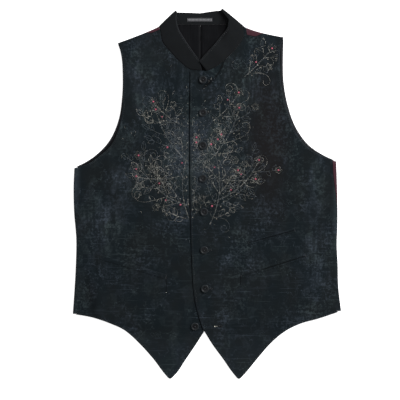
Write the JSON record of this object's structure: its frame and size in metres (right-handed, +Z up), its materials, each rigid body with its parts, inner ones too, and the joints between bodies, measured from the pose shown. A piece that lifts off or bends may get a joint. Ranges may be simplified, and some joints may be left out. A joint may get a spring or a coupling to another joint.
{
  "type": "waistcoat",
  "caption": "Sleeveless single-breasted waistcoat with a stand collar and pointed fronts, buttoned and laid flat.",
  "frame": {"origin": "on the surface it lies on, under the middle of the garment's box", "axes": "+Y from the pointed hem to the collar, +Z up out of the surface, so that the fronts face up; +X towards the wearer's left side"},
  "size_m": [0.509, 0.7006, 0.0112],
  "materials": {
    "front_cloth": "brushed cotton, blue-black with a faint worn blue-grey print",
    "back_cloth": "burgundy satin",
    "lining": "plain black lining, slightly glossy",
    "collar_cloth": "plain black cotton",
    "label": "bare woven tape",
    "button": "dark horn-like plastic, satin"
  },
  "bodies": {
    "root": {"back_left": "back_cloth", "back_right": "back_cloth", "lining_left": "lining", "lining_right": "lining", "front_left": "front_cloth", "front_right": "front_cloth", "collar": "collar_cloth", "label": "label", "pocket_left": "front_cloth", "pocket_right": "front_cloth", "ticket_pocket": "front_cloth", "button_1": "button", "button_2": "button", "button_3": "button", "button_4": "button", "button_5": "button", "button_6": "button", "button_7": "button", "button_8": "button"}
  },
  "joints": []
}
